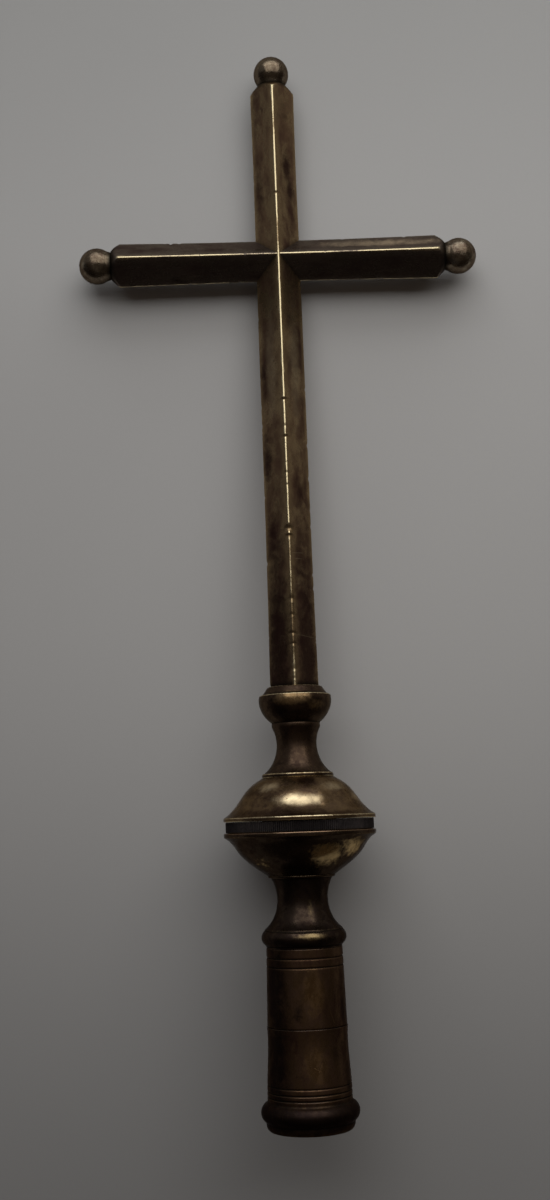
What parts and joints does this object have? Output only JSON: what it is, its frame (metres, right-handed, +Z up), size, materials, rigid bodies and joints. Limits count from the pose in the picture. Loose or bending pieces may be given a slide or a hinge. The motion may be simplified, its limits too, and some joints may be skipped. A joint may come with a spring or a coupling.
{
  "type": "processional cross",
  "caption": "Cross of square bars set on edge with ball ends, on a turned knop and a round node with a knurled screw collar, over a tapered pole socket.",
  "frame": {"origin": "centre of the socket's mouth, on the plane of its rim", "axes": "+Z up along the pole and the upright, +X to the right of a viewer facing the cross, -Y towards that viewer"},
  "size_m": [0.1926, 0.0696, 0.509],
  "materials": {
    "bar_brass": "dark brown patina, worn bright along the ridges",
    "ball_brass": "handled, half polished, pitted",
    "turned_brass": "brown patina on turned brass, bright rims",
    "node_brass": "mottled, polished through the patina in patches",
    "socket_brass": "dark satin patina, scratched",
    "collar_brass": "blackened, fine straight knurl",
    "iron": "plain dark iron"
  },
  "bodies": {
    "socket": {"lower_shell": "node_brass", "thread_seat": "turned_brass", "shell_nut": "turned_brass", "neck": "turned_brass", "upper_ferrule": "socket_brass", "lower_ferrule": "socket_brass"},
    "head": {"upright_bar": "bar_brass", "cross_bar": "bar_brass", "top_ball": "ball_brass", "left_ball": "ball_brass", "right_ball": "ball_brass", "top_stud": "iron", "left_stud": "iron", "right_stud": "iron", "knop": "turned_brass", "upper_shell": "node_brass", "hub_disc": "turned_brass", "keeper_disc": "turned_brass", "clamp_nut": "iron", "tang": "iron"},
    "collar": {"screw_collar": "collar_brass"}
  },
  "joints": [
    {"name": "head_lift", "type": "slide", "parent": "socket", "child": "head", "axis": [0, 0, 1], "range_m": [0, 0.008]},
    {"name": "collar_turn", "type": "hinge", "parent": "head", "child": "collar", "pos_m": [0, 0, 0.133], "axis": [0, 0, 1], "range_deg": [0, 1440]}
  ],
  "couplings": [
    {"joint": "head_lift", "follows": "collar_turn", "m_per_rad": 0.00031831}
  ]
}
